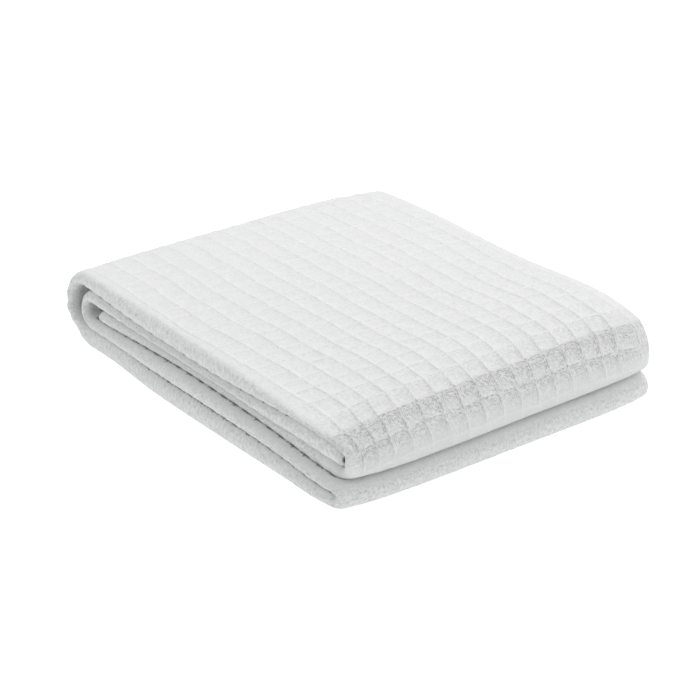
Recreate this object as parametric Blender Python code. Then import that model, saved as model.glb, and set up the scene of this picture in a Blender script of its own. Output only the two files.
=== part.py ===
"""A waffle weave cotton blanket, folded for a shelf and lying flat.

The cloth is one piece, 1.30 m wide and 2.00 m long. It is folded in half and in half again across its
width, which makes a strip four plies thick with a soft spine on one side and the hems on the other. The
strip is then folded back and forth along its length into five layers. So the solid is one four-ply
profile, swept along the folded strip. It is worked out first for even layers, and then pressed to the
heights and edges that the uneven stack really has.

Metres, +Z up. +X runs across the strip, away from the spine, and +Y runs along it. The origin is the
middle of the rectangle that the stack covers, on the ground.
"""

import math

import bmesh
import bpy
import numpy as np

# Driving dimensions
STACK_WIDTH = 0.334  # across the strip, spine to hems
STACK_DEPTH = 0.418  # along the strip, near folds to far fold
STACK_HEIGHT = 0.070
LAYERS = 5
PLIES = 4
PLY_PITCH = STACK_HEIGHT / (LAYERS * PLIES)
PLY_THICKNESS = 0.78 * PLY_PITCH
LAYER = PLIES * PLY_PITCH
UNDERSIDE = 0.5 * (PLY_PITCH - PLY_THICKNESS)  # height of the lowest face in the even stack

# The strip's profile: how far the inner plies and the hems stop short of the outer crease, and where
# the flat stretches of a ply have points between their ends
HEM_SHORT = {"outer": 0.006, "inner": 0.003}
HEM_TIP = 0.35  # length of a hem's rounded tip, as a share of the ply's thickness
INNER_CREASE_SHORT = 0.0008  # the inner crease stands this much further in than it would if nested
PLY_KNOTS = (0.045, 0.165, 0.290)
SPINE_STEPS = 5
CREASE_STEPS = 3

# Where the flat stretches of the layers have points between their bends
LAYER_KNOTS = (0.040, 0.062, 0.095, 0.140, 0.190, 0.240, 0.290, 0.335, 0.365)
LEAST_STRETCH = 0.009
BEND_STEPS = 8

# The strip from its tucked end to its flap end. Each row is a flat layer, counted from the ground, and
# the bend that leads out of it: the bend's outermost y, its reach along Y as a share of its height, and
# the share of the strip's thickness that is left where it turns.
STRIP = (
    {"layer": 3, "heading": 1, "edge": 0.392, "reach": 0.95, "squeeze": 0.62},
    {"layer": 1, "heading": -1, "edge": 0.008, "reach": 1.00, "squeeze": 0.96},
    {"layer": 0, "heading": 1, "edge": 0.418, "reach": 1.16, "squeeze": 0.78},
    {"layer": 4, "heading": -1, "edge": 0.000, "reach": 0.90, "squeeze": 0.72},
    {"layer": 2, "heading": 1, "edge": 0.360, "reach": 0.00, "squeeze": 0.80},
)
TUCKED_END = 0.016
END_ROUNDING = 0.0035

# Heights of the tops of the layers, in millimetres, along the spine and along the hems
SPINE_HEIGHTS = (
    # y, layer 0, layer 1, layer 2, layer 3, layer 4
    (0, 10.0, 20.0, 31.0, 48.0, 60.0),
    (30, 12.0, 22.5, 34.5, 52.0, 60.5),
    (60, 14.5, 25.5, 37.5, 54.0, 62.0),
    (100, 17.0, 29.5, 39.0, 53.0, 65.0),
    (180, 19.0, 33.0, 41.5, 50.5, 68.0),
    (240, 19.5, 34.5, 42.5, 51.5, 70.0),
    (300, 19.5, 33.5, 43.5, 53.0, 71.5),
    (350, 19.5, 32.0, 44.0, 56.0, 72.0),
    (418, 19.0, 32.0, 45.0, 58.0, 72.0),
)
HEM_HEIGHTS = (
    (0, 11.0, 22.0, 36.0, 53.5, 68.5),
    (60, 12.5, 25.0, 39.0, 54.5, 70.0),
    (180, 14.0, 28.0, 41.5, 55.5, 69.5),
    (300, 14.5, 29.0, 42.5, 57.0, 71.0),
    (418, 15.0, 30.0, 43.5, 57.5, 71.5),
)
CROWN = 0.025  # share by which the middle of the stack stands higher

# How far each layer's edge lies inside the stack's outline, in millimetres
SPINE_INSETS = (
    # y, layer 0, layer 1, layer 2, layer 3, layer 4
    (0, 9.0, 9.0, 11.0, 10.0, 10.0),
    (16, 4.0, 5.0, 8.0, 6.5, 7.0),
    (40, 0.5, 2.0, 6.0, 4.0, 4.5),
    (80, 0.5, 1.5, 5.5, 3.5, 3.5),
    (180, 0.0, 1.0, 6.5, 5.0, 3.0),
    (280, 1.5, 1.5, 5.5, 5.5, 3.0),
    (340, 6.0, 4.0, 5.5, 5.5, 3.5),
    (418, 6.0, 5.0, 6.0, 6.5, 6.5),
)
HEM_INSETS = (
    (0, 15.0, 15.0, 19.0, 20.0, 21.0),
    (16, 12.5, 12.5, 14.0, 14.5, 14.5),
    (32, 9.5, 9.5, 10.0, 10.0, 9.5),
    (60, 4.5, 4.5, 5.0, 5.0, 4.5),
    (200, 2.0, 1.0, 4.0, 5.0, 4.5),
    (340, 1.5, 1.0, 3.0, 3.0, 2.5),
    (418, 6.0, 6.0, 7.0, 7.0, 7.0),
)

# How far the near folds and the far fold bow in from the outline, in millimetres
END_INSETS = (
    # x, near, far
    (0, 8.0, 5.0),
    (20, 4.0, 5.0),
    (50, 1.0, 3.5),
    (90, 0.0, 2.0),
    (190, 0.0, 0.5),
    (250, 0.0, 0.0),
    (290, 0.5, 2.0),
    (312, 2.0, 6.0),
    (336, 6.0, 13.0),
)

COTTON = (0.80, 0.82, 0.82, 1.0)
COTTON_ROUGHNESS = 0.92


def smoothstep(t):
    t = np.clip(t, 0.0, 1.0)
    return t * t * (3.0 - 2.0 * t)


def along_table(rows, at):
    """The columns of a table in metres, read smoothly at the given places along its first column."""
    rows = np.array(rows) / 1000.0
    knots, columns = rows[:, 0], rows[:, 1:]
    slopes = np.gradient(columns, knots, axis=0)
    low = np.clip(np.searchsorted(knots, at) - 1, 0, len(knots) - 2)
    span = knots[low + 1] - knots[low]
    t = np.clip((at - knots[low]) / span, 0.0, 1.0)[:, None]
    span = span[:, None]
    return (
        (2 * t**3 - 3 * t**2 + 1) * columns[low]
        + (t**3 - 2 * t**2 + t) * span * slopes[low]
        + (3 * t**2 - 2 * t**3) * columns[low + 1]
        + (t**3 - t**2) * span * slopes[low + 1]
    )


def profile():
    """The closed outline of the four plies, as (x, n) with n up through the strip's thickness.

    The cloth's centre line runs from one hem round the outer crease to the other side, round the first
    crease at the hem side, and back inside to the inner crease and the other hem. The outline is that
    line, thickened: its left side out and its right side back, with a rounded tip at each hem.
    """
    outer, inner = 1.5 * PLY_PITCH, 0.5 * PLY_PITCH
    hem_side = STACK_WIDTH - inner - 0.5 * PLY_THICKNESS
    line = []

    def flat(n, toward_spine):
        knots = sorted(PLY_KNOTS, reverse=toward_spine)
        line.extend((x, n, -1.0 if toward_spine else 1.0, 0.0) for x in knots)

    def crease(x, n, radius, start, turn, steps):
        for step in range(steps + 1):
            angle = start + turn * math.pi * step / steps
            line.append(
                (
                    x + radius * math.cos(angle),
                    n + radius * math.sin(angle),
                    -turn * math.sin(angle),
                    turn * math.cos(angle),
                )
            )

    spine_middle = outer + 0.5 * PLY_THICKNESS
    line.append((STACK_WIDTH - HEM_SHORT["outer"], -outer, -1.0, 0.0))
    flat(-outer, True)
    crease(spine_middle, 0.0, outer, -0.5 * math.pi, -1, SPINE_STEPS)
    flat(outer, False)
    crease(hem_side, PLY_PITCH, inner, 0.5 * math.pi, -1, CREASE_STEPS)
    flat(inner, True)
    crease(spine_middle + INNER_CREASE_SHORT, 0.0, inner, 0.5 * math.pi, 1, CREASE_STEPS)
    flat(-inner, False)
    line.append((STACK_WIDTH - HEM_SHORT["inner"], -inner, 1.0, 0.0))
    line = np.array(line)
    place, heading = line[:, :2], line[:, 2:]
    across = 0.5 * PLY_THICKNESS * np.stack([-heading[:, 1], heading[:, 0]], axis=1)
    tip = HEM_TIP * PLY_THICKNESS
    first_tip = place[0] - tip * heading[0]
    last_tip = place[-1] + tip * heading[-1]
    return (place + across), (place - across), first_tip, last_tip


def strip_path():
    """Where the strip's middle runs in even layers: rows of y, z, the way it heads, and its thickness."""
    path = []
    start = TUCKED_END
    for number, part in enumerate(STRIP):
        z = (part["layer"] + 0.5) * LAYER
        last = number == len(STRIP) - 1
        after = part["layer"] if last else STRIP[number + 1]["layer"]
        radius = 0.5 * abs(after - part["layer"]) * LAYER
        turn = 1 if after > part["layer"] else -1
        reach = radius * part["reach"]
        middle = part["edge"] - part["heading"] * (reach + 0.5 * LAYER * part["squeeze"])
        end = part["edge"] if last else middle
        knots = [y for y in LAYER_KNOTS if min(abs(y - start), abs(y - end)) > LEAST_STRETCH]
        low, high = min(start, end), max(start, end)
        flats = [start] + sorted((y for y in knots if low < y < high), reverse=part["heading"] < 0)
        if number == 0:
            path.append((start, z, part["heading"], 0.0, part["squeeze"]))
            flats[0] = start + part["heading"] * END_ROUNDING
        path.extend((y, z, part["heading"], 0.0, 1.0) for y in flats)
        if last:
            path.append((end - part["heading"] * END_ROUNDING, z, part["heading"], 0.0, 1.0))
            path.append((end, z, part["heading"], 0.0, part["squeeze"]))
            break
        for step in range(BEND_STEPS):
            angle = math.pi * step / BEND_STEPS
            heading_y = part["heading"] * reach * math.cos(angle)
            heading_z = turn * radius * math.sin(angle)
            size = math.hypot(heading_y, heading_z)
            path.append(
                (
                    middle + part["heading"] * reach * math.sin(angle),
                    z + turn * radius * (1.0 - math.cos(angle)),
                    heading_y / size,
                    heading_z / size,
                    1.0 - (1.0 - part["squeeze"]) * math.sin(angle),
                )
            )
        start = middle
    return np.array(path)


def pressed(x, y, z):
    """Takes points of the even stack to where the real, uneven one has them.

    The underside stays flat. Each layer is squeezed or puffed between its own two heights, so no layer
    or ply passes through another.
    """
    spread = smoothstep(x / STACK_WIDTH)[:, None]
    tops = (1.0 - spread) * along_table(SPINE_HEIGHTS, y) + spread * along_table(HEM_HEIGHTS, y)
    from_spine = np.clip(x / STACK_WIDTH, 0.0, 1.0)
    from_near = np.clip(y / STACK_DEPTH, 0.0, 1.0)
    hump = np.sin(math.pi * from_spine) * np.sin(math.pi * from_near)
    tops = np.concatenate([np.zeros((len(x), 1)), tops * (1.0 + CROWN * hump[:, None])], axis=1)
    row = np.arange(len(x))
    low = np.clip((z / LAYER).astype(int), 0, LAYERS - 1)
    floor = np.where(low == 0, UNDERSIDE, low * LAYER)
    t = np.clip((z - floor) / ((low + 1) * LAYER - floor), 0.0, 1.0)
    rises = np.diff(tops, axis=1)
    slopes = np.empty_like(tops)
    slopes[:, 1:-1] = 2.0 * rises[:, 1:] * rises[:, :-1] / (rises[:, 1:] + rises[:, :-1])
    slopes[:, 0], slopes[:, -1] = rises[:, 0], rises[:, -1]
    new_z = (
        tops[row, low]
        + rises[row, low] * (3 * t**2 - 2 * t**3)
        + slopes[row, low] * (t**3 - 2 * t**2 + t)
        + slopes[row, low + 1] * (t**3 - t**2)
    )

    between = np.clip(z / LAYER - 0.5, 0.0, LAYERS - 1.0)
    below = np.minimum(between.astype(int), LAYERS - 2)
    share = smoothstep(2.0 * (between - below) - 0.5)
    spine = along_table(SPINE_INSETS, y)
    hem = along_table(HEM_INSETS, y)
    spine = spine[row, below] * (1.0 - share) + spine[row, below + 1] * share
    hem = hem[row, below] * (1.0 - share) + hem[row, below + 1] * share
    new_x = x + spine * (1.0 - from_spine) ** 2 - hem * from_spine**2

    ends = along_table(END_INSETS, x)
    new_y = y + ends[:, 0] * (1.0 - from_near) ** 3 - ends[:, 1] * from_near**3
    return new_x, new_y, new_z


def folded_cloth():
    """The blanket as one closed mesh: a ring of the profile at each place of the strip, and two ends."""
    left, right, first_tip, last_tip = profile()
    outline = np.concatenate([left, [last_tip], right[::-1], [first_tip]])
    points = []
    for y, z, heading_y, heading_z, thickness in strip_path():
        offset = outline[:, 1] * thickness
        points.append(
            np.stack([outline[:, 0], y + offset * heading_z, z - offset * heading_y], axis=1)
        )
    points = np.concatenate(points)
    points = np.stack(pressed(*points.T), axis=1)
    points[:, 0] -= 0.5 * (points[:, 0].min() + points[:, 0].max())
    points[:, 1] -= 0.5 * (points[:, 1].min() + points[:, 1].max())
    points[:, 2] -= points[:, 2].min()

    mesh = bmesh.new()
    corners = [mesh.verts.new(point) for point in points]
    around = len(outline)
    rings = len(corners) // around
    for ring in range(rings - 1):
        for here in range(around):
            after = (here + 1) % around
            mesh.faces.new(
                (
                    corners[ring * around + here],
                    corners[ring * around + after],
                    corners[(ring + 1) * around + after],
                    corners[(ring + 1) * around + here],
                )
            )
    count = len(left)
    for ring in (0, rings - 1):
        end = corners[ring * around : (ring + 1) * around]
        far_side = end[count + 1 : -1][::-1]
        for here in range(count - 1):
            mesh.faces.new((end[here], end[here + 1], far_side[here + 1], far_side[here]))
        mesh.faces.new((end[count - 1], end[count], far_side[-1]))
        mesh.faces.new((end[0], far_side[0], end[-1]))
    bmesh.ops.recalc_face_normals(mesh, faces=mesh.faces[:])
    if mesh.calc_volume(signed=True) < 0:
        bmesh.ops.reverse_faces(mesh, faces=mesh.faces[:])
    return mesh


def cotton():
    material = bpy.data.materials.new("white_cotton")
    material.use_nodes = True
    shader = material.node_tree.nodes["Principled BSDF"]
    shader.inputs["Base Color"].default_value = COTTON
    shader.inputs["Roughness"].default_value = COTTON_ROUGHNESS
    shader.inputs["Metallic"].default_value = 0.0
    material.diffuse_color = COTTON
    return material


def main():
    for old in list(bpy.data.objects):
        bpy.data.objects.remove(old, do_unlink=True)
    shape = bpy.data.meshes.new("blanket")
    mesh = folded_cloth()
    mesh.to_mesh(shape)
    mesh.free()
    shape.materials.append(cotton())
    shape.shade_smooth()
    blanket = bpy.data.objects.new("blanket", shape)
    bpy.context.scene.collection.objects.link(blanket)


main()
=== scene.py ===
"""The looks of the folded waffle weave cotton blanket.

The cloth is one thin sheet, 1.30 m by 2.00 m, in the folds of its solid: four plies across, and five
layers along the strip that those plies make. Here it is made again as one fine closed mesh with the
waffle in it: cells of about 19 mm by 16 mm, sunk like shallow trays between thin raised ridges. Its
yarns are bump and painted shade, and its ridges carry a painted highlight.

Metres, +Z up. +X runs across the folded strip from its spine to its hems, and +Y runs along the strip.
"""

import math

import bmesh
import bpy
import numpy as np
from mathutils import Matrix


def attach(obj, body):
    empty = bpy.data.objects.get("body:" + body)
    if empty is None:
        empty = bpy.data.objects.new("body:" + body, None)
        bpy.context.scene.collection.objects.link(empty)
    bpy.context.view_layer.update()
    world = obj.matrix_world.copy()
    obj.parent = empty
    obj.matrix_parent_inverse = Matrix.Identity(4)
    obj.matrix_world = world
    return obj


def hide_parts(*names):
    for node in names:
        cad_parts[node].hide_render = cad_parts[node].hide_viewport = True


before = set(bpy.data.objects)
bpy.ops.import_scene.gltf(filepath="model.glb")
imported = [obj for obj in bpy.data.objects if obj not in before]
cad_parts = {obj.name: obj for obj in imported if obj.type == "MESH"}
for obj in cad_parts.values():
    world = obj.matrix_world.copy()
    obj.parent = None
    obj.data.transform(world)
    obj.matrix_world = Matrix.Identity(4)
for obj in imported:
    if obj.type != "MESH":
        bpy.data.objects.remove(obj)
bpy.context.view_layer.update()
bpy.ops.object.select_all(action="DESELECT")

# The cloth as it was cut, and the stack that it is folded to
CLOTH_WIDTH, CLOTH_LENGTH = 1.30, 2.00
STACK_WIDTH = 0.334
STACK_DEPTH = 0.418
STACK_HEIGHT = 0.070
LAYERS = 5
PLIES = 4
PLY_PITCH = STACK_HEIGHT / (LAYERS * PLIES)
PLY_THICKNESS = 0.78 * PLY_PITCH
LAYER = PLIES * PLY_PITCH
UNDERSIDE = 0.5 * (PLY_PITCH - PLY_THICKNESS)  # height of the lowest face in the even stack

# The strip from its tucked end to its flap end. Each row is a flat layer, counted from the ground, and
# the bend that leads out of it: the bend's outermost y, its reach along Y as a share of its height, and
# the share of the strip's thickness that is left where it turns.
STRIP = (
    {"layer": 3, "heading": 1, "edge": 0.392, "reach": 0.95, "squeeze": 0.62},
    {"layer": 1, "heading": -1, "edge": 0.008, "reach": 1.00, "squeeze": 0.96},
    {"layer": 0, "heading": 1, "edge": 0.418, "reach": 1.16, "squeeze": 0.78},
    {"layer": 4, "heading": -1, "edge": 0.005, "reach": 1.10, "squeeze": 0.72},
    {"layer": 2, "heading": 1, "edge": 0.360, "reach": 0.00, "squeeze": 0.80},
)
TUCKED_END = 0.0165
TUCKED_ROUNDING, END_ROUNDING = 0.007, 0.0035  # over how far the strip's two ends round off
FLAT_STEP, BEND_STEPS = 0.002, 90  # how closely its middle is known

# Heights of the tops of the layers, in millimetres, along the spine and along the hems
SPINE_HEIGHTS = (
    # y, layer 0, layer 1, layer 2, layer 3, layer 4
    (0, 10.0, 20.5, 31.0, 46.5, 57.5),
    (30, 12.0, 22.5, 34.5, 51.5, 60.0),
    (60, 14.5, 25.5, 37.5, 54.0, 62.0),
    (100, 17.0, 29.5, 39.0, 53.0, 65.0),
    (180, 19.0, 33.0, 41.5, 50.5, 68.0),
    (240, 19.5, 34.5, 42.5, 51.5, 70.0),
    (300, 19.5, 33.5, 43.5, 53.0, 71.5),
    (350, 19.5, 32.0, 44.0, 56.0, 72.0),
    (418, 19.0, 32.0, 45.0, 58.0, 72.0),
)
HEM_HEIGHTS = (
    (0, 11.0, 22.5, 36.0, 50.5, 62.0),
    (30, 11.8, 23.8, 37.5, 53.5, 67.5),
    (60, 12.5, 25.0, 39.0, 54.5, 69.8),
    (180, 14.0, 28.0, 41.5, 55.5, 69.5),
    (300, 14.5, 29.0, 42.5, 57.0, 71.0),
    (418, 15.0, 30.0, 43.5, 57.5, 71.5),
)
CROWN = 0.025  # share by which the middle of the stack stands higher

# How far each layer's edge lies inside the stack's outline, in millimetres
SPINE_INSETS = (
    # y, layer 0, layer 1, layer 2, layer 3, layer 4
    (0, 9.0, 9.0, 13.0, 12.0, 10.0),
    (16, 4.0, 5.0, 12.5, 9.5, 7.0),
    (40, 0.5, 2.0, 10.5, 6.5, 4.5),
    (80, 0.5, 1.5, 9.0, 5.0, 3.5),
    (180, 0.0, 1.0, 9.0, 5.5, 3.0),
    (280, 1.5, 1.5, 7.5, 5.5, 3.0),
    (340, 6.0, 4.0, 6.5, 5.5, 3.5),
    (418, 6.0, 5.0, 6.0, 6.5, 6.5),
)
HEM_INSETS = (
    (0, 15.0, 15.0, 19.0, 20.0, 21.0),
    (16, 12.5, 12.5, 14.0, 14.5, 14.5),
    (32, 9.5, 9.5, 10.0, 10.0, 9.5),
    (60, 4.5, 4.5, 5.0, 5.0, 4.5),
    (200, 2.0, 1.0, 4.0, 5.0, 4.5),
    (340, 1.5, 1.0, 3.0, 3.0, 2.5),
    (418, 6.0, 6.0, 7.0, 7.0, 7.0),
)

# How far the near folds and the far fold bow in from the outline, in millimetres
END_INSETS = (
    # x, near, far
    (0, 8.0, 5.0),
    (20, 4.0, 5.0),
    (50, 1.0, 3.5),
    (90, 0.0, 2.0),
    (190, 0.0, 0.5),
    (250, 0.0, 0.0),
    (290, 0.5, 2.0),
    (312, 2.0, 6.0),
    (336, 6.0, 13.0),
)

# The profile's four plies, and how far the inner ones and the hems stop short
OUTER = 1.5 * PLY_PITCH
INNER = 0.5 * PLY_PITCH
HEM_SHORT = {"outer": 0.006, "inner": 0.003}
INNER_CREASE_SHORT = 0.0008
SPINE_MIDDLE = OUTER + 0.5 * PLY_THICKNESS
HEM_SIDE = STACK_WIDTH - INNER - 0.5 * PLY_THICKNESS
HEM_DEPTH = 0.012
HEM_EASE = 0.0015  # over how far a hem thins to its ply
HEM_SWELL = 0.12  # share by which a hem is thicker than its ply
HEM_TIP = 0.42  # length of a hem's rounded tip, as a share of the ply's thickness

# Where the profile has points: round its bends, in steps on the left and on the right face, round a
# hem's tip, on plain faces of the plies, by a hem's edge, and by the spine where the waffle shows
ARC_STEPS = {"spine": (10, 5), "first crease": (4, 2), "inner crease": (2, 3)}
TIP_ANGLES = (45.0, 0.0, -45.0)
PLY_KNOTS = (0.045, 0.165, 0.290, 0.3175)
HEM_POINTS = (0.0, HEM_DEPTH - 0.001, HEM_DEPTH + 0.0005)
NEAR_SPINE = 0.022  # how far in from the spine the hidden layers show their waffle
NEAR_SPINE_POINTS = (0.8, 0.5, 0.27, 0.11)  # shares of that
CLOSEST = 0.25  # share of an even step that two points in a row keep apart, at the least
SAME_PLACE = 1e-9
KEY_STEP, KEY_GAP, SAME_KEY = 0.001, 0.01, 1e-5  # for the keys that order a ring's points

# The waffle: its cells, measured along the cloth from the spine and from the foremost line of the near
# fold, its trays and its ridges. The cells near that fold are drawn longer than the others.
CELL_ACROSS = 0.0194
CELL_ALONG = 0.0161
FIRST_RIDGE_ACROSS = 0.0155
SPINE_CELL = 0.0256
DRAWN_RIDGES = (-0.1015, -0.0830, -0.0625, -0.0388, -0.0175, 0.0020, 0.0200)
LAST_RIDGE = 0.5  # past the flap's end
TRAY_DEPTH = 0.0015
RIDGE_HEIGHT = 0.0006
RIDGE_WIDTH = 0.0007
MOST_DEPTH = 0.62  # of the ply, that a tray may take
DEPTH_SPREAD = 0.40  # how much the cells' depths differ
DEPTH_SEED = 7
DEPTH_ROWS, DEPTH_COLUMNS = 160, 320  # more than the cells that there are
SCALLOP = 0.0011  # how far the cells push the spine's outline out
SCALLOP_REACH = 0.013  # how far from the spine's middle that goes
SCALLOP_FADE = 0.02  # over what length that ends, where the strip comes to lie on the ground

# How much of the waffle the spine and the first crease show, and how near to them it fades
SPINE_SHOWS = 0.2
SPINE_HALF = 0.007
SPINE_BLEND = 0.006
CREASE_SHOWS = 0.2
CREASE_BLEND = 0.025

# How much of the waffle's depth the cloth shows along its length: least where it is drawn smooth under
# the near folds, and more on the top near the fold than far from it
WAFFLE_ALONG = (
    # v in millimetres, share in thousandths
    (-1700, 600),
    (-930, 500),
    (-893, 150),
    (-859, 150),
    (-820, 260),
    (-600, 300),
    (-545, 700),
    (-425, 700),
    (-390, 460),
    (-200, 700),
    (-120, 800),
    (-80, 950),
    (-50, 1000),
    (-12, 1000),
    (-4, 650),
    (4, 120),
    (30, 100),
    (370, 500),
)

# Where the ridges that run along the cloth lie, in millimetres from the spine: they wander over
# the top, and lean toward the spine where the cloth goes down the near fold
RIDGE_PATHS = (
    # v, the first ridge, the third and the sixteenth
    (-390, 14.0, 54.0, 314.0),
    (-325, 14.5, 54.5, 314.5),
    (-225, 12.5, 52.7, 314.0),
    (-170, 16.3, 56.0, 310.6),
    (-120, 19.0, 59.5, 308.5),
    (-90, 20.5, 61.0, 306.0),
    (-61, 20.8, 58.0, 305.0),
    (-32, 14.0, 49.0, 298.5),
    (-15, 12.5, 41.5, 293.0),
    (0, 12.5, 39.5, 295.0),
    (40, 15.5, 54.3, 306.5),
)
PATH_RIDGES = (0, 2, 15)

# How far the ridges that run across sink toward the ground at the near fold's corners, in millimetres
SINKING = (
    # x, sinking
    (5, 8.0),
    (12, 6.5),
    (20, 3.5),
    (30, 1.8),
    (50, 0.0),
    (155, -1.5),
    (200, -1.0),
    (250, 0.0),
    (285, 2.2),
    (310, 5.5),
    (334, 6.0),
)
SINKING_FROM = (-0.085, 0.025)  # v where it starts, and over how far
SINKING_TO = (0.010, 0.040)  # v where it ends, and over how far

# How the ridges wander besides, in slow waves. Each has its share, its radians a metre, first the way
# that the ridges run and then the other, and where it starts.
DRIFT = 0.0009
WAVES_ALONG = ((1.0, 41.0, 9.0, 0.0), (0.6, 97.0, -31.0, 1.0))
WAVES_ACROSS = ((1.0, 33.0, 6.0, 2.0), (0.6, 83.0, -27.0, 4.0))

# The cotton itself
COTTON = (0.755, 0.757, 0.756)
COTTON_ROUGHNESS, COTTON_SPECULAR = 0.9, 0.25
SHEEN, SHEEN_ROUGHNESS = 0.12, 0.5

# Where the cloth turns down over a fold its weave opens, and shows coarser and with more painted shade
# in its gaps. It does so from a slope on, and on the near fold as this table says: v in millimetres,
# how far the cells are stretched open and how much painted shade the near fold gets, both in
# thousandths.
UPRIGHT_FROM, UPRIGHT_OVER = 0.96, 0.40  # the height of the outward direction, and over how much of it
LEAST_OPEN = 0.25  # how coarse the flat cloth still is
FOLD_OPEN = (
    (-85, 0, 0),
    (-60, 150, 0),
    (-42, 350, 5),
    (-35, 850, 60),
    (-18, 850, 40),
    (-8, 750, 60),
    (2, 600, 130),
    (12, 400, 200),
    (30, 0, 150),
    (60, 0, 0),
)
DRAWN_FROM = (-0.022, 0.004)  # along the cloth, where it is drawn smooth under the near fold
DRAWN_TO = (0.050, 0.040)
DRAWN_FINER = 0.75  # share of its coarseness that it loses there

# The painted shade in the grooves between the layers at the spine: how far from the spine's end each
# starts, where the next ply hides it, over how far it darkens, and how uneven its edge is. Once dark,
# it stays dark out to the hem
GROOVE_FROM = {"face up": -0.0047, "face down": -0.0058}
GROOVE_OVER = 0.0090
GROOVE_EDGE = (0.40, 0.60)
GROOVE_PAINTED_SHADE = 0.66
GROOVE_TEETH = 0.12  # how much further it reaches out in the middle of a cell
GROOVE_UNEVEN = 0.5

# The yarns that step down into each tray, in metres. They show as arcs on the walls that face the
# picture, in broken runs, as bumps with painted shade in the gaps between them.
RIBS_IN_TRAY = 5.0  # from a ridge to the middle of its tray
RIB_SQUARENESS = 5.0
RIB_WANDER = 0.15
RIB_HEIGHT = 0.00019
RIB_LEAST = 0.18
RIB_BREAKS = (0.36, 0.58)
FAR_WALL = (0.45, 0.80)  # shares of a cell
SIDE_WALL = (0.50, 0.85)
# Painted shade in the gaps between the yarns' arcs
GAP_PAINTED_SHADE = 0.36

# The thin bright lines on the ridges: a little raised, and lighter by a painted highlight
RIDGE_SHARE = 0.09
ACROSS_SHARE = 0.7  # how strong the lines across are, beside those along
LINE_HEIGHT = 0.00025
LINE_RUNS = (0.20, 0.60)
LINE_FADE = 0.6  # the power of the waffle's share by which they fade
RIDGE_PAINTED_HIGHLIGHT = 0.20

# The fuzz, the dark specks between yarns (small pits, with painted shade in them), the streaks where
# the cloth is drawn smooth, and soft patches
FUZZ_HEIGHT = 0.0010
LEAST_FUZZ = 0.15
FUZZ_SHADE = 0.75
SPECK_HEIGHT = 0.00024
SPECKS = (0.48, 0.72)
# Painted shade in the specks, the gaps between yarns
SPECK_PAINTED_SHADE = 0.13
STREAK_HEIGHT = 0.0004
PATCH_SHADE = 0.07

# The sizes of all their grains, across the cloth and along it
WANDER_GRAIN = (0.004, 0.004)
BREAK_GRAIN = (0.0035, 0.0035)
STREAK_GRAIN = (0.0009, 0.025)
FUZZ_GRAIN = (0.0024, 0.0024)
SPECK_GRAIN = (0.0028, 0.0028)
PATCH_GRAIN = (0.010, 0.010)
LINE_GRAIN = (0.022, 0.022)
GROOVE_GRAIN = (0.0025, 0.0025)
ROUGH = 0.8  # how strong the finest of the fuzz and the specks are

# The picture: the camera, the floor and the lights
PICTURE_WIDTH = 700
FOCAL_PIXELS = 2167.8
SENSOR = 36.0
CAMERA_AT = (-1.01246, -1.30930, 0.80212)
CAMERA_PITCH = 25.425
CAMERA_TURN = 37.599
FLOOR_SIZE = 12.0
FLOOR_WHITE, FLOOR_ROUGHNESS = 0.45, 0.9
FLOOR_GLOW = 0.78
FLOOR_LIGHT = (0.985, 1.0, 0.998, 1.0)
SKY_STRENGTH = 0.76
SKY_COLOUR = (0.985, 1.0, 0.998, 1.0)
LAMP_COLOUR = (1.0, 0.98, 0.982)
LIGHTS = (
    {"name": "high back", "at": (0.55, 0.40, 2.0), "size": (1.6, 1.6), "watts": 17.0},
    {"name": "right front", "at": (1.4, -0.9, 0.9), "size": (1.0, 1.0), "watts": 5.1},
)

# Where a cell has points, as shares of it from ridge to ridge
FINE = (0.0, 0.04, 0.12, 0.26, 0.42, 0.58, 0.74, 0.88, 0.96)
SHORT = (0.0, 0.045, 0.14, 0.32, 0.5, 0.68, 0.86, 0.955)
MEDIUM = (0.0, 0.12, 0.38, 0.62, 0.88)
COARSE = (0.0, 0.18, 0.5, 0.82)
SPARSE = (0.0,)

# The stretches of the strip, from its tucked end: its flat layers and its bends. For each, how closely
# it has points along and across.
STRETCHES = (
    {"name": "tucked layer", "along": COARSE, "across": SPARSE},
    {"name": "far inner bend", "along": MEDIUM, "across": SPARSE},
    {"name": "second layer", "along": COARSE, "across": SPARSE},
    {"name": "lower near fold", "along": FINE, "across": MEDIUM},
    {"name": "ground layer", "along": COARSE, "across": COARSE},
    {"name": "far wrap", "along": FINE, "across": MEDIUM},
    {"name": "top layer", "along": SHORT, "across": SHORT},
    {"name": "upper near fold", "along": FINE, "across": SHORT},
    {"name": "flap", "along": COARSE, "across": SPARSE},
)
NUMBER_OF = {row["name"]: number for number, row in enumerate(STRETCHES)}
NEAR_FOLD = NUMBER_OF["upper near fold"]
GROUND_LAYER = NUMBER_OF["ground layer"]
SECOND_LAYER = NUMBER_OF["second layer"]
FACE_DOWN_LAYERS = [NUMBER_OF[name] for name in ("tucked layer", "ground layer", "flap")]


def smoothstep(t):
    """0 below 0, 1 above 1, and smooth between."""
    t = np.clip(t, 0.0, 1.0)
    return t * t * (3.0 - 2.0 * t)


def along_table(rows, at):
    """The columns of a table in metres, read smoothly at the given places along its first column."""
    rows = np.array(rows) / 1000.0
    knots, columns = rows[:, 0], rows[:, 1:]
    slopes = np.gradient(columns, knots, axis=0)
    low = np.clip(np.searchsorted(knots, at) - 1, 0, len(knots) - 2)
    span = knots[low + 1] - knots[low]
    t = np.clip((at - knots[low]) / span, 0.0, 1.0)[:, None]
    span = span[:, None]
    return (
        (2 * t**3 - 3 * t**2 + 1) * columns[low]
        + (t**3 - 2 * t**2 + t) * span * slopes[low]
        + (3 * t**2 - 2 * t**3) * columns[low + 1]
        + (t**3 - t**2) * span * slopes[low + 1]
    )


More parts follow.
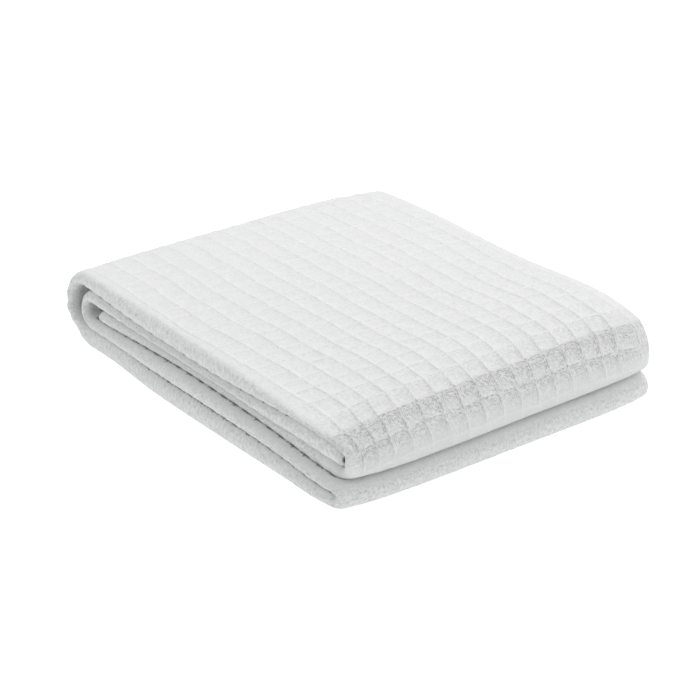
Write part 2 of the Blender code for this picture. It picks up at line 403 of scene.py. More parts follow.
def pressed(x, y, z):
    """Takes points of the even stack to where the uneven one has them, as the solid does."""
    from_spine = np.clip(x / STACK_WIDTH, 0.0, 1.0)
    from_near = np.clip(y / STACK_DEPTH, 0.0, 1.0)
    spread = smoothstep(from_spine)[:, None]
    tops = (1.0 - spread) * along_table(SPINE_HEIGHTS, y) + spread * along_table(HEM_HEIGHTS, y)
    hump = np.sin(math.pi * from_spine) * np.sin(math.pi * from_near)
    tops = np.concatenate([np.zeros((len(x), 1)), tops * (1.0 + CROWN * hump[:, None])], axis=1)
    row = np.arange(len(x))
    low = np.clip((z / LAYER).astype(int), 0, LAYERS - 1)
    floor = np.where(low == 0, UNDERSIDE, low * LAYER)
    t = np.clip((z - floor) / ((low + 1) * LAYER - floor), 0.0, 1.0)
    rises = np.diff(tops, axis=1)
    slopes = np.empty_like(tops)
    slopes[:, 1:-1] = 2.0 * rises[:, 1:] * rises[:, :-1] / (rises[:, 1:] + rises[:, :-1])
    slopes[:, 0], slopes[:, -1] = rises[:, 0], rises[:, -1]
    new_z = (
        tops[row, low]
        + rises[row, low] * (3 * t**2 - 2 * t**3)
        + slopes[row, low] * (t**3 - 2 * t**2 + t)
        + slopes[row, low + 1] * (t**3 - t**2)
    )
    between = np.clip(z / LAYER - 0.5, 0.0, LAYERS - 1.0)
    below = np.minimum(between.astype(int), LAYERS - 2)
    share = smoothstep(2.0 * (between - below) - 0.5)
    spine = along_table(SPINE_INSETS, y)
    hem = along_table(HEM_INSETS, y)
    spine = spine[row, below] * (1.0 - share) + spine[row, below + 1] * share
    hem = hem[row, below] * (1.0 - share) + hem[row, below + 1] * share
    new_x = x + spine * (1.0 - from_spine) ** 2 - hem * from_spine**2
    ends = along_table(END_INSETS, x)
    new_y = y + ends[:, 0] * (1.0 - from_near) ** 3 - ends[:, 1] * from_near**3
    return new_x, new_y, new_z


def strip_line():
    """The strip's middle in the even stack, closely: y, z, its heading and its share of thickness.

    It also gives the number of the stretch that each place belongs to.
    """
    rows = []
    start = TUCKED_END
    for number, part in enumerate(STRIP):
        z = (part["layer"] + 0.5) * LAYER
        last = number == len(STRIP) - 1
        after = part["layer"] if last else STRIP[number + 1]["layer"]
        radius = 0.5 * abs(after - part["layer"]) * LAYER
        turn = 1 if after > part["layer"] else -1
        reach = radius * part["reach"]
        middle = part["edge"] - part["heading"] * (reach + 0.5 * LAYER * part["squeeze"])
        end = part["edge"] if last else middle
        steps = int(abs(end - start) / FLAT_STEP)
        for y in np.linspace(start, end, steps, endpoint=last):
            from_end = abs(y - start) / TUCKED_ROUNDING if number == 0 else 1.0
            if last:
                from_end = abs(y - end) / END_ROUNDING
            rounding = math.sqrt(max(0.0, 1.0 - (1.0 - min(1.0, from_end)) ** 2))
            share = part["squeeze"] + (1.0 - part["squeeze"]) * rounding
            rows.append((y, z, part["heading"], 0.0, share, 2 * number))
        if last:
            break
        for step in range(BEND_STEPS):
            angle = math.pi * step / BEND_STEPS
            heading_y = part["heading"] * reach * math.cos(angle)
            heading_z = turn * radius * math.sin(angle)
            size = math.hypot(heading_y, heading_z)
            share = 1.0 - (1.0 - part["squeeze"]) * math.sin(angle)
            rows.append(
                (
                    middle + part["heading"] * reach * math.sin(angle),
                    z + turn * radius * (1.0 - math.cos(angle)),
                    heading_y / size,
                    heading_z / size,
                    share,
                    2 * number + 1,
                )
            )
        start = middle
    return np.array(rows)


def profile_pieces():
    """The profile's centre line, from the outer ply's hem to the inner ply's hem, in flats and arcs."""
    inner_turn = SPINE_MIDDLE + INNER_CREASE_SHORT
    outer_hem = STACK_WIDTH - HEM_SHORT["outer"]
    inner_hem = STACK_WIDTH - HEM_SHORT["inner"]
    flats = {
        "outer ply": (outer_hem, SPINE_MIDDLE, -OUTER),
        "face ply": (SPINE_MIDDLE, HEM_SIDE, OUTER),
        "inside ply": (HEM_SIDE, inner_turn, INNER),
        "hem ply": (inner_turn, inner_hem, -INNER),
    }
    arcs = {
        "spine": (SPINE_MIDDLE, 0.0, OUTER, -0.5 * math.pi, -1),
        "first crease": (HEM_SIDE, PLY_PITCH, INNER, 0.5 * math.pi, -1),
        "inner crease": (inner_turn, 0.0, INNER, 0.5 * math.pi, 1),
    }
    order = ("outer ply", "spine", "face ply", "first crease", "inside ply", "inner crease", "hem ply")
    pieces, start = {}, 0.0
    for name in order:
        if name in flats:
            x0, x1, n = flats[name]
            length = abs(x1 - x0)
        else:
            length = math.pi * arcs[name][2]
        pieces[name] = {"start": start, "length": length}
        pieces[name].update(flat=flats.get(name), arc=arcs.get(name))
        start += length
    return pieces


PROFILE = profile_pieces()
PROFILE_LENGTH = sum(piece["length"] for piece in PROFILE.values())
SPINE_AT = PROFILE["spine"]["start"] + 0.5 * PROFILE["spine"]["length"]
FACE_START = PROFILE["face ply"]["start"]
FACE_END = PROFILE["first crease"]["start"]


def ridge_lines():
    """Where the ridges lie: those along, by their place on the profile, and those across, by v."""
    first = SPINE_AT + FIRST_RIDGE_ACROSS
    along = np.concatenate(
        [
            np.arange(first - SPINE_CELL, -CELL_ACROSS, -CELL_ACROSS)[::-1],
            np.arange(first, PROFILE_LENGTH + CELL_ACROSS, CELL_ACROSS),
        ]
    )
    across = np.concatenate(
        [
            np.arange(DRAWN_RIDGES[0] - CELL_ALONG, -CLOTH_LENGTH, -CELL_ALONG)[::-1],
            DRAWN_RIDGES,
            np.arange(DRAWN_RIDGES[-1] + CELL_ALONG, LAST_RIDGE, CELL_ALONG),
        ]
    )
    return along, across


LINES_ALONG, LINES_ACROSS = ridge_lines()


def profile_at(p):
    """The centre line at lengths p along it: x, n and the way it heads."""
    p = np.clip(p, 0.0, PROFILE_LENGTH)
    x, n, heading_x, heading_n = (np.zeros(len(p)) for _ in range(4))
    for piece in PROFILE.values():
        end = piece["start"] + piece["length"]
        here = (p >= piece["start"] - SAME_PLACE) & (p <= end + SAME_PLACE)
        along = p[here] - piece["start"]
        if piece["flat"]:
            x0, x1, height = piece["flat"]
            way = 1.0 if x1 > x0 else -1.0
            x[here] = x0 + way * along
            n[here] = height
            heading_x[here], heading_n[here] = way, 0.0
        else:
            middle_x, middle_n, radius, first, turn = piece["arc"]
            angle = first + turn * along / radius
            x[here] = middle_x + radius * np.cos(angle)
            n[here] = middle_n + radius * np.sin(angle)
            heading_x[here] = -turn * np.sin(angle)
            heading_n[here] = turn * np.cos(angle)
    return x, n, heading_x, heading_n


def ridges_between(low, high, lines, shares):
    """The places from low to high where the cells between these ridges have points, and both ends."""
    places = []
    for line, following in zip(lines[:-1], lines[1:]):
        places.extend(line + share * (following - line) for share in shares)
    least = CLOSEST * CELL_ALONG / len(shares)
    inside = [at for at in places if low + least < at < high - least]
    return [low] + inside + [high]


def column_places(across):
    """Where a ring of this closeness has points on the centre line, for its left and its right face."""
    left, right = [], []
    for name, piece in PROFILE.items():
        start, end = piece["start"], piece["start"] + piece["length"]
        if piece["arc"]:
            for side, steps in zip((left, right), ARC_STEPS[name]):
                side.extend(np.linspace(start, end, steps + 1))
            continue
        knots = [start + abs(x - piece["flat"][0]) for x in PLY_KNOTS]
        right.extend(knots)
        if name != "face ply":
            left.extend(knots)
        elif across == SPARSE:
            left.extend(ridges_between(start, start + NEAR_SPINE, LINES_ALONG, SHORT))
            left.extend(ridges_between(start + NEAR_SPINE, end, LINES_ALONG, SPARSE))
        else:
            left.extend(ridges_between(start, end, LINES_ALONG, across))
        if name == "outer ply":
            left.extend(end - NEAR_SPINE * share for share in NEAR_SPINE_POINTS)
    for depth in HEM_POINTS:
        left.extend((depth, PROFILE_LENGTH - depth))
        right.extend((depth, PROFILE_LENGTH - depth))
    return [np.array(sorted({round(float(at), 6) for at in side})) for side in (left, right)]


def ring_points(across):
    """A ring's points: out on the left face, round the inner hem, back on the right, round the outer.

    Each is its place on the centre line, its side of it from 1 to -1, how far beyond a hem it lies as a
    share of the rounded tip, and a key that orders the points of any two rings.
    """
    left, right = column_places(across)
    turned = np.radians(TIP_ANGLES)
    tips = len(turned)
    end = left[-1]
    place = np.concatenate([left, np.full(tips, end), right[::-1], np.zeros(tips)])
    side = np.concatenate([np.ones(len(left)), np.sin(turned), -np.ones(len(right)), -np.sin(turned)])
    beyond = np.concatenate([0.0 * left, np.cos(turned), 0.0 * right, -np.cos(turned)])
    back = 2.0 * end + KEY_GAP  # the right face's keys run down from here
    steps = KEY_STEP * np.arange(1, tips + 1)
    round_inner, round_outer = end + steps, back + steps
    key = np.concatenate([left, round_inner, back - right[::-1], round_outer])
    counts = {"left": len(left), "right": len(right)}
    return {"place": place, "side": side, "beyond": beyond, "key": key, **counts}


def waves(rows, first, second):
    """The sum of the waves in a table, at places told the way that the ridges run and the other way."""
    return sum(
        share * np.sin(turns * first + other_turns * second + start)
        for share, turns, other_turns, start in rows
    )


def strayed_across(place, v):
    """How far the ridges that run along the cloth stray on its face ply from even cells."""
    cells = (place - SPINE_AT - FIRST_RIDGE_ACROSS) / CELL_ACROSS
    paths = np.array(RIDGE_PATHS) / 1000.0
    even = FIRST_RIDGE_ACROSS + CELL_ACROSS * np.array(PATH_RIDGES)
    first, third, last = (np.interp(v, paths[:, 0], column) for column in (paths[:, 1:] - even).T)
    share = np.clip(cells / PATH_RIDGES[1], 0.0, 1.0)
    beyond = np.clip((cells - PATH_RIDGES[1]) / (PATH_RIDGES[2] - PATH_RIDGES[1]), 0.0, 1.0)
    shift = first + share * (third - first) + beyond * (last - third)
    shift += DRIFT * waves(WAVES_ALONG, v, place)
    from_spine = np.clip((place - FACE_START) / (SPINE_AT + FIRST_RIDGE_ACROSS - FACE_START), 0.0, 1.0)
    last_ridge = SPINE_AT + FIRST_RIDGE_ACROSS + CELL_ACROSS * PATH_RIDGES[2]
    to_crease = np.clip((FACE_END - place) / (FACE_END - last_ridge), 0.0, 1.0)
    return shift * from_spine * to_crease


def strayed_along(x, v):
    """How far the ridges that run across stray: they sink at the near fold's corners, and wander."""
    at, sinking = np.array(SINKING).T / 1000.0
    deep = smoothstep((v - SINKING_FROM[0]) / SINKING_FROM[1])
    deep = deep * (1.0 - smoothstep((v - SINKING_TO[0]) / SINKING_TO[1]))
    return np.interp(x, at, sinking) * deep + DRIFT * waves(WAVES_ACROSS, x, v)


class Strip:
    """The folded strip, read by v, the length along its face ply from the near fold's foremost line."""

    def __init__(self):
        self.line = strip_line()
        y, z, heading_y, heading_z, share, self.stretch = self.line.T
        x = np.full(len(y), 0.5 * STACK_WIDTH)
        n = OUTER * share
        face = np.stack(pressed(x, y + n * heading_z, z - n * heading_y), axis=1)
        steps = np.linalg.norm(np.diff(face, axis=0), axis=1)
        self.v = np.concatenate([[0.0], np.cumsum(steps)])
        near_fold = np.nonzero(self.stretch == NEAR_FOLD)[0]
        self.v -= self.v[near_fold[np.argmin(face[near_fold, 1])]]

    def ends_of(self, number):
        """The lengths v where a stretch starts and ends."""
        here = np.nonzero(self.stretch == number)[0]
        last = min(here[-1] + 1, len(self.v) - 1)
        return self.v[here[0]], self.v[last]

    def scalloped(self, v):
        """Whether the spine's outline shows the cells here: not on the ground."""
        low, high = self.ends_of(GROUND_LAYER)
        half = 0.5 * SCALLOP_FADE
        on_ground = smoothstep((v - low + half) / SCALLOP_FADE)
        return 1.0 - on_ground * smoothstep((high - v + half) / SCALLOP_FADE)

    def at(self, v):
        """The strip's middle at lengths v: y, z, its heading and its share of thickness."""
        return [np.interp(v, self.v, column) for column in self.line.T[:5]]


def laid(strip, place, side, beyond, v, stray):
    """Where points of the cloth lie in the uneven stack, each moved across by its stray."""
    x, n, heading_x, heading_n = profile_at(place)
    from_hem = np.minimum(place, PROFILE_LENGTH - place)
    swell = 1.0 + HEM_SWELL * (1.0 - smoothstep((from_hem - HEM_DEPTH) / HEM_EASE + 1.0))
    half = 0.5 * PLY_THICKNESS * swell
    tip = HEM_TIP * PLY_THICKNESS * beyond
    x = x - half * side * heading_n + tip * heading_x
    n = n + half * side * heading_x + tip * heading_n
    x = x + stray
    along = np.interp(v, LINES_ACROSS, np.arange(len(LINES_ACROSS)))
    bulge = (0.5 - 0.5 * np.cos(2.0 * math.pi * along)) * strip.scalloped(v)
    x = x - SCALLOP * bulge * (1.0 - smoothstep(np.abs(place - SPINE_AT) / SCALLOP_REACH))
    y, z, heading_y, heading_z, share = strip.at(v + strayed_along(x, v))
    size = np.hypot(heading_y, heading_z)
    y = y + n * share * heading_z / size
    z = z - n * share * heading_y / size
    return np.stack(pressed(x, y, z), axis=1)


def zipped(first, first_keys, second, second_keys, closed):
    """Faces between two rows of points that are ordered by their keys, quads where the keys agree."""
    faces = []
    here, there = 0, 0
    last_here = len(first) - (0 if closed else 1)
    last_there = len(second) - (0 if closed else 1)
    while here < last_here or there < last_there:
        next_here = first_keys[here + 1] if here + 1 < len(first) else math.inf
        next_there = second_keys[there + 1] if there + 1 < len(second) else math.inf
        a, b = first[here], second[there]
        a_next, b_next = first[(here + 1) % len(first)], second[(there + 1) % len(second)]
        both = abs(next_here - next_there) < SAME_KEY or next_here == next_there
        if both and here < last_here and there < last_there:
            faces.append((a, a_next, b_next, b))
            here, there = here + 1, there + 1
        elif there >= last_there or (here < last_here and next_here < next_there):
            faces.append((a, a_next, b))
            here += 1
        else:
            faces.append((a, b_next, b))
            there += 1
    return faces


def cloth_points(strip):
    """Every point of the cloth, ring by ring, as arrays, and the faces between the rings."""
    rings, faces = [], []
    for number, row in enumerate(STRETCHES):
        low, high = strip.ends_of(number)
        places = ridges_between(low, high, LINES_ACROSS, row["along"])
        ring = ring_points(row["across"])
        last = number == len(STRETCHES) - 1
        rings.extend((ring, v, number) for v in (places if last else places[:-1]))
    starts = np.cumsum([0] + [len(ring["place"]) for ring, _, _ in rings])
    for index in range(len(rings) - 1):
        (ring, _, _), (following, _, _) = rings[index], rings[index + 1]
        first = starts[index] + np.arange(len(ring["place"]))
        second = starts[index + 1] + np.arange(len(following["place"]))
        if len(first) == len(second):
            faces.extend(zip(first, np.roll(first, -1), np.roll(second, -1), second))
        else:
            faces.extend(zipped(first, ring["key"], second, following["key"], closed=True))
    for index in (0, len(rings) - 1):
        faces.extend(closed_end(rings[index][0], starts[index]))
    names = ("place", "side", "beyond")
    columns = {name: np.concatenate([ring[name] for ring, _, _ in rings]) for name in names}
    counts = [len(ring["place"]) for ring, _, _ in rings]
    columns["v"] = np.repeat([v for _, v, _ in rings], counts)
    columns["stretch"] = np.repeat([number for _, _, number in rings], counts)
    return columns, faces


def closed_end(ring, start):
    """Faces that close the strip at one end, between the two sides of its outline."""
    numbers = start + np.arange(len(ring["place"]))
    left = numbers[: ring["left"]]
    tips = len(TIP_ANGLES)
    right = numbers[ring["left"] + tips : ring["left"] + tips + ring["right"]][::-1]
    far_tip = numbers[ring["left"] : ring["left"] + tips]
    near_tip = numbers[ring["left"] + tips + ring["right"] :]
    left_keys = ring["place"][: ring["left"]]
    right_keys = ring["place"][ring["left"] + tips : ring["left"] + tips + ring["right"]][::-1]
    faces = zipped(left, left_keys, right, right_keys, closed=False)
    faces.append((left[-1], *far_tip, right[-1]))
    faces.append((right[0], *near_tip, left[0]))
    return faces


def waffle_shown(points):
    """How much of the waffle's depth each point takes: less at the spine, the crease and inside."""
    place, side = points["place"], points["side"]
    from_spine = np.abs(place - SPINE_AT)
    to_crease = FACE_END - place
    shown = SPINE_SHOWS + (1.0 - SPINE_SHOWS) * smoothstep((from_spine - SPINE_HALF) / SPINE_BLEND)
    shown = shown * (CREASE_SHOWS + (1.0 - CREASE_SHOWS) * smoothstep(to_crease / CREASE_BLEND))
    shown = shown * smoothstep((place - PROFILE["spine"]["start"] + NEAR_SPINE) / NEAR_SPINE)
    shown = shown * (1.0 - smoothstep(-to_crease / PROFILE["first crease"]["length"]))
    hidden = np.array([row["across"] == SPARSE for row in STRETCHES])[points["stretch"]]
    inward = smoothstep((place - FACE_START) / NEAR_SPINE)
    shown = np.where(hidden, shown * (1.0 - inward), shown)
    at, share = np.array(WAFFLE_ALONG).T / 1000.0
    return shown * np.interp(points["v"], at, share) * (side == 1.0)


def in_cells(points):
    """Where each point lies, counted in cells: every whole number is a ridge."""
    across = np.interp(points["place"], LINES_ALONG, np.arange(len(LINES_ALONG)))
    along = np.interp(points["v"], LINES_ACROSS, np.arange(len(LINES_ACROSS)))
    return across, along


def relief(points, shown):
    """How far the waffle moves each point out of the plain cloth: trays down, ridges up, in metres."""
    across, along = in_cells(points)
    column, row = np.floor(across).astype(int), np.floor(along).astype(int)
    from_ridge_x = (0.5 - np.abs(across - column - 0.5)) * CELL_ACROSS
    from_ridge_y = (0.5 - np.abs(along - row - 0.5)) * CELL_ALONG
    nearest = np.minimum(from_ridge_x, from_ridge_y)
    inward = nearest / (0.5 * min(CELL_ACROSS, CELL_ALONG))
    uneven = np.random.default_rng(DEPTH_SEED).uniform(-1.0, 1.0, (DEPTH_ROWS, DEPTH_COLUMNS))
    depth = TRAY_DEPTH * (1.0 + DEPTH_SPREAD * uneven[row % DEPTH_ROWS, column % DEPTH_COLUMNS])
    tray = -depth * np.sin(0.5 * math.pi * np.clip(inward, 0.0, 1.0))
    ridge = RIDGE_HEIGHT * np.exp(-((nearest / RIDGE_WIDTH) ** 2))
    return shown * tray, shown * ridge


def plain_mesh(base, faces):
    """The cloth without its waffle, with every face turned outward."""
    shape = bpy.data.meshes.new("blanket_cloth")
    shape.from_pydata(base.tolist(), [], [[int(corner) for corner in face] for face in faces])
    shape.update()
    fine = bmesh.new()
    fine.from_mesh(shape)
    bmesh.ops.recalc_face_normals(fine, faces=fine.faces[:])
    if fine.calc_volume(signed=True) < 0:
        bmesh.ops.reverse_faces(fine, faces=fine.faces[:])
    fine.to_mesh(shape)
    fine.free()
    shape.update()
    return shape


def cloth_maps(points, stray):
    """Two maps of the cloth: one in metres from the spine and the near fold, and one in cells."""
    across = points["place"] - SPINE_AT + stray
    on_cloth = np.stack([across, points["v"]], axis=1)
    return {"cloth": on_cloth, "cells": np.stack(in_cells(points), axis=1)}


def cloth_shares(points, shown, outward):
    """What the material reads at each point: the waffle, how open its weave is, and its painted shades,
    on the near fold and in the grooves between the layers.
    """
    outer_face = points["side"] == 1.0
    at, stretched, fold_painted_shade = np.array(FOLD_OPEN).T / 1000.0
    stretched = np.interp(points["v"], at, stretched) * outer_face
    opened = np.maximum(stretched, smoothstep((UPRIGHT_FROM - outward[:, 2]) / UPRIGHT_OVER))
    # Painted shade on the near fold, from the table's last column
    shade = np.interp(points["v"], at, fold_painted_shade) * outer_face
    # Painted shade in the grooves between the layers, on the plies that the next layer covers at the
    # spine
    face_up = points["stretch"] == SECOND_LAYER
    under_face = points["place"] - FACE_START - GROOVE_FROM["face up"]
    under_back = PROFILE["spine"]["start"] - points["place"] - GROOVE_FROM["face down"]
    covered = face_up | np.isin(points["stretch"], FACE_DOWN_LAYERS)
    under = np.where(face_up, under_face, under_back) * covered
    painted_groove_shade = np.clip(under / GROOVE_OVER, 0.0, 1.0) * outer_face
    return {"waffle": shown, "opened": opened, "shade": shade, "painted_groove_shade": painted_groove_shade}


def blanket_mesh(material):
    """The folded blanket, its outline's middle over the origin and its underside on the ground."""
    strip = Strip()
    points, faces = cloth_points(strip)
    stray = strayed_across(points["place"], points["v"])
    outer_stray = stray * (points["side"] > 0.0)
    base, behind = (
        laid(strip, points["place"], side, points["beyond"], points["v"], outer_stray)
        for side in (points["side"], -points["side"])
    )
    thickness = np.linalg.norm(base - behind, axis=1)
    middle = [0.5 * (base[:, axis].min() + base[:, axis].max()) for axis in (0, 1)]
    base -= np.array([middle[0], middle[1], base[:, 2].min()])

    shape = plain_mesh(base, faces)
    outward = np.empty(len(base) * 3)
    shape.vertices.foreach_get("normal", outward)
    outward = outward.reshape(-1, 3)
    shown = waffle_shown(points)
    tray, ridge = relief(points, shown)
    tray = -np.minimum(-tray, MOST_DEPTH * thickness)
    placed = base + (tray + ridge)[:, None] * outward
    placed[:, 2] = np.maximum(placed[:, 2], 0.0)
    shape.vertices.foreach_set("co", placed.ravel())

    corner_of = np.empty(len(shape.loops), int)
    shape.loops.foreach_get("vertex_index", corner_of)
    for name, places in cloth_maps(points, stray).items():
        shape.uv_layers.new(name=name)
        shape.uv_layers[name].uv.foreach_set("vector", places[corner_of].ravel())
    for name, share in cloth_shares(points, shown, outward).items():
        shape.attributes.new(name, "FLOAT", "POINT").data.foreach_set("value", share)
    shape.shade_smooth()
    shape.materials.append(material)
    shape.update()
    piece = bpy.data.objects.new("blanket_cloth", shape)
    bpy.context.scene.collection.objects.link(piece)
    return piece


class Weaving:
    """A material's nodes, with each sum of the weave as one short call."""

    def __init__(self, material):
        self.tree = material.node_tree

    def value(self, operation, *terms):
        """One sum, of plain numbers or of what other nodes give."""
        node = self.tree.nodes.new("ShaderNodeMath")
        node.operation = operation
        for socket, term in zip(node.inputs, terms):
            self.put(socket, term)
        return node.outputs[0]

    def map_of(self, name):
        """Places on the cloth, from its map of this name."""
        node = self.tree.nodes.new("ShaderNodeUVMap")
        node.uv_map = name
        return node.outputs[0]

    def share_of(self, name):
        """What the cloth's points give under this name."""
        node = self.tree.nodes.new("ShaderNodeAttribute")
        node.attribute_name = name
        return node.outputs["Fac"]

    def put(self, socket, term):
        """Gives a socket a plain number or what another node gives."""
        if isinstance(term, (int, float)):
            socket.default_value = term
        else:
            self.tree.links.new(term, socket)

    def ramp(self, term, low, high):
        """0 at low and before it, 1 at high and beyond it, and smooth between."""
        node = self.tree.nodes.new("ShaderNodeMapRange")
        node.interpolation_type = "SMOOTHSTEP"
        node.inputs["From Min"].default_value = low
        node.inputs["From Max"].default_value = high
        self.tree.links.new(term, node.inputs["Value"])
        return node.outputs["Result"]

    def blend(self, share, low, high):
        """From low to high by this share."""
        node = self.tree.nodes.new("ShaderNodeMix")
        node.data_type = "FLOAT"
        self.put(node.inputs[0], share)
        self.put(node.inputs[2], low)
        self.put(node.inputs[3], high)
        return node.outputs[0]

    def noise(self, grain, detail=2.0, roughness=0.5):
        """Noise on the cloth with grains of this size, from 0 to 1."""
        across, along = grain
        place = self.tree.nodes.new("ShaderNodeVectorMath")
        place.operation = "MULTIPLY"
        place.inputs[1].default_value = (1.0 / across, 1.0 / along, 0.0)
        self.tree.links.new(self.on_cloth, place.inputs[0])
        node = self.tree.nodes.new("ShaderNodeTexNoise")
        node.noise_dimensions = "2D"
        node.inputs["Scale"].default_value = 1.0
        node.inputs["Detail"].default_value = detail
        node.inputs["Roughness"].default_value = roughness
        self.tree.links.new(place.outputs[0], node.inputs["Vector"])
        return node.outputs[0]


def white_cotton():
    """White cotton: yarns that step down into each tray in arcs with painted shade between them, and
    bright lines with a painted highlight on the ridges. It paints shade too in the grooves between the
    layers and on the near fold.
    """
    material = bpy.data.materials.new("white_cotton")
    material.use_nodes = True
    weave = Weaving(material)
    nodes, links = material.node_tree.nodes, material.node_tree.links
    weave.on_cloth = weave.map_of("cloth")
    parts = nodes.new("ShaderNodeSeparateXYZ")
    links.new(weave.on_cloth, parts.inputs[0])
    along = parts.outputs[1]
    cells = nodes.new("ShaderNodeSeparateXYZ")
    links.new(weave.map_of("cells"), cells.inputs[0])
    shown = weave.share_of("waffle")

    near_x = weave.value("MULTIPLY", weave.value("PINGPONG", cells.outputs[0], 0.5), 2.0)
    near_y = weave.value("MULTIPLY", weave.value("PINGPONG", cells.outputs[1], 0.5), 2.0)
    far_x = weave.value("POWER", weave.value("SUBTRACT", 1.0, near_x), RIB_SQUARENESS)
    far_y = weave.value("POWER", weave.value("SUBTRACT", 1.0, near_y), RIB_SQUARENESS)
    far = weave.value("POWER", weave.value("ADD", far_x, far_y), 1.0 / RIB_SQUARENESS)
    inward = weave.value("SUBTRACT", 1.0, far)
    wander = weave.value("MULTIPLY_ADD", weave.noise(WANDER_GRAIN), RIB_WANDER, -0.5 * RIB_WANDER)
    turns = weave.value("MULTIPLY", weave.value("ADD", inward, wander), RIBS_IN_TRAY * 2.0 * math.pi)
    rib = weave.value("SINE", turns)

    down_cell = weave.value("FRACT", cells.outputs[1])
    over_cell = weave.value("FRACT", cells.outputs[0])
    facing = weave.value(
        "MAXIMUM",
        weave.value("SUBTRACT", 1.0, weave.ramp(down_cell, *FAR_WALL)),
        weave.ramp(over_cell, *SIDE_WALL),
    )
    coarse = weave.blend(weave.share_of("opened"), LEAST_OPEN, 1.0)
    drawn = weave.value("MULTIPLY", weave.ramp(along, *DRAWN_FROM), weave.ramp(along, *DRAWN_TO))
    coarse = weave.value("MULTIPLY", coarse, weave.value("MULTIPLY_ADD", drawn, -DRAWN_FINER, 1.0))
    broken = weave.ramp(weave.noise(BREAK_GRAIN), *RIB_BREAKS)
    ribbed = weave.value("MULTIPLY", broken, weave.blend(facing, RIB_LEAST, 1.0))
    ribbed = weave.value("MULTIPLY", weave.value("MULTIPLY", ribbed, shown), coarse)
    rib = weave.value("MULTIPLY", rib, ribbed)

    streaks = weave.noise(STREAK_GRAIN)
    fuzz = weave.value("SUBTRACT", weave.noise(FUZZ_GRAIN, detail=4.0, roughness=ROUGH), 0.5)
    fuzz = weave.value("MULTIPLY", fuzz, weave.blend(coarse, LEAST_FUZZ, 1.0))
    # Specks: small pits between the yarns, with painted shade in them, more where the weave shows
    # coarse
    grains = weave.noise(SPECK_GRAIN, detail=5.0, roughness=ROUGH)
    specks = weave.value("MULTIPLY", weave.ramp(grains, *SPECKS), coarse)
    patches = weave.value("SUBTRACT", weave.noise(PATCH_GRAIN, detail=3.0), 0.5)
    # Lines on the ridges, a little raised and with a painted highlight
    runs = weave.ramp(weave.noise(LINE_GRAIN), *LINE_RUNS)
    ridge_along = weave.value("SUBTRACT", 1.0, weave.ramp(near_x, 0.0, RIDGE_SHARE))
    ridge_across = weave.value("SUBTRACT", 1.0, weave.ramp(near_y, 0.0, RIDGE_SHARE))
    on_ridge = weave.value("MAXIMUM", ridge_along, weave.value("MULTIPLY", ridge_across, ACROSS_SHARE))
    faded = weave.value("POWER", shown, LINE_FADE)
    line = weave.value("MULTIPLY", weave.value("MULTIPLY", on_ridge, runs), faded)

    height = weave.value("MULTIPLY", rib, RIB_HEIGHT)
    for part, size in ((fuzz, FUZZ_HEIGHT), (specks, -SPECK_HEIGHT), (line, LINE_HEIGHT)):
        height = weave.value("MULTIPLY_ADD", part, size, height)
    height = weave.value("MULTIPLY_ADD", weave.value("MULTIPLY", streaks, drawn), STREAK_HEIGHT, height)
    bump = nodes.new("ShaderNodeBump")
    bump.inputs["Strength"].default_value = 1.0
    bump.inputs["Distance"].default_value = 1.0
    links.new(height, bump.inputs["Height"])

    # Painted shade in the grooves between the layers, with an uneven, toothed edge
    edge = weave.noise(GROOVE_GRAIN, detail=3.0)
    uneven = weave.value("MULTIPLY_ADD", edge, GROOVE_UNEVEN, -0.5 * GROOVE_UNEVEN)
    uneven = weave.value("MULTIPLY_ADD", weave.value("SUBTRACT", near_y, 0.5), GROOVE_TEETH, uneven)
    painted_groove_shade = weave.ramp(weave.value("ADD", weave.share_of("painted_groove_shade"), uneven), *GROOVE_EDGE)
    tone = weave.value("MULTIPLY_ADD", painted_groove_shade, -GROOVE_PAINTED_SHADE, 1.0)
    # Painted shade on the near fold
    tone = weave.value("SUBTRACT", tone, weave.share_of("shade"))
    # Painted shade in the gaps between the yarns' arcs, more where the weave shows coarse
    tone = weave.value("MULTIPLY_ADD", weave.value("SUBTRACT", ribbed, rib), -0.5 * GAP_PAINTED_SHADE, tone)
    # Painted highlight on the ridges' lines and painted shade in the specks; the fuzz and the patches
    # vary the tone at random
    shades = ((line, RIDGE_PAINTED_HIGHLIGHT), (specks, -SPECK_PAINTED_SHADE), (fuzz, FUZZ_SHADE), (patches, PATCH_SHADE))
    for part, size in shades:
        tone = weave.value("MULTIPLY_ADD", part, size, tone)
    colour = nodes.new("ShaderNodeVectorMath")
    colour.operation = "SCALE"
    colour.inputs[0].default_value = COTTON
    links.new(tone, colour.inputs["Scale"])

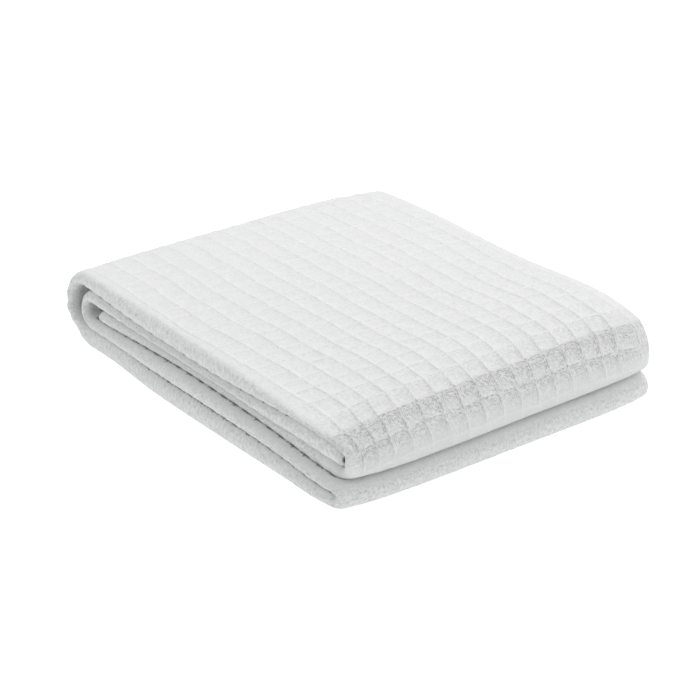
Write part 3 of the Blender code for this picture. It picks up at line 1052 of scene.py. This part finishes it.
    shader = nodes["Principled BSDF"]
    links.new(colour.outputs[0], shader.inputs["Base Color"])
    links.new(bump.outputs[0], shader.inputs["Normal"])
    shader.inputs["Roughness"].default_value = COTTON_ROUGHNESS
    shader.inputs["Sheen Weight"].default_value = SHEEN
    shader.inputs["Sheen Roughness"].default_value = SHEEN_ROUGHNESS
    shader.inputs["Specular IOR Level"].default_value = COTTON_SPECULAR
    return material


def floor():
    bpy.ops.mesh.primitive_plane_add(size=FLOOR_SIZE)
    ground = bpy.context.object
    ground.name = "floor"
    paper = bpy.data.materials.new("white_paper")
    paper.use_nodes = True
    shader = paper.node_tree.nodes["Principled BSDF"]
    shader.inputs["Base Color"].default_value = (*[FLOOR_WHITE] * 3, 1.0)
    shader.inputs["Roughness"].default_value = FLOOR_ROUGHNESS
    shader.inputs["Emission Color"].default_value = FLOOR_LIGHT
    shader.inputs["Emission Strength"].default_value = FLOOR_GLOW
    ground.data.materials.append(paper)


def camera():
    view = bpy.data.cameras.new("camera")
    view.sensor_width = SENSOR
    view.lens = FOCAL_PIXELS / PICTURE_WIDTH * SENSOR
    piece = bpy.data.objects.new("camera", view)
    piece.location = CAMERA_AT
    piece.rotation_euler = (math.radians(90.0 - CAMERA_PITCH), 0.0, -math.radians(CAMERA_TURN))
    bpy.context.scene.collection.objects.link(piece)
    bpy.context.scene.camera = piece


def lights():
    world = bpy.data.worlds.new("studio")
    world.use_nodes = True
    sky = world.node_tree.nodes["Background"]
    sky.inputs["Color"].default_value = SKY_COLOUR
    sky.inputs["Strength"].default_value = SKY_STRENGTH
    bpy.context.scene.world = world
    for row in LIGHTS:
        lamp = bpy.data.lights.new(row["name"], "AREA")
        lamp.shape = "RECTANGLE"
        lamp.size, lamp.size_y = row["size"]
        lamp.energy = row["watts"]
        lamp.color = LAMP_COLOUR
        piece = bpy.data.objects.new(row["name"], lamp)
        piece.location = row["at"]
        piece.rotation_euler = (-piece.location).to_track_quat("-Z", "Y").to_euler()
        bpy.context.scene.collection.objects.link(piece)
    bpy.context.scene.view_settings.view_transform = "Standard"


def main():
    cloth = blanket_mesh(white_cotton())
    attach(cloth, "root")
    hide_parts("blanket")
    floor()
    lights()
    camera()


main()
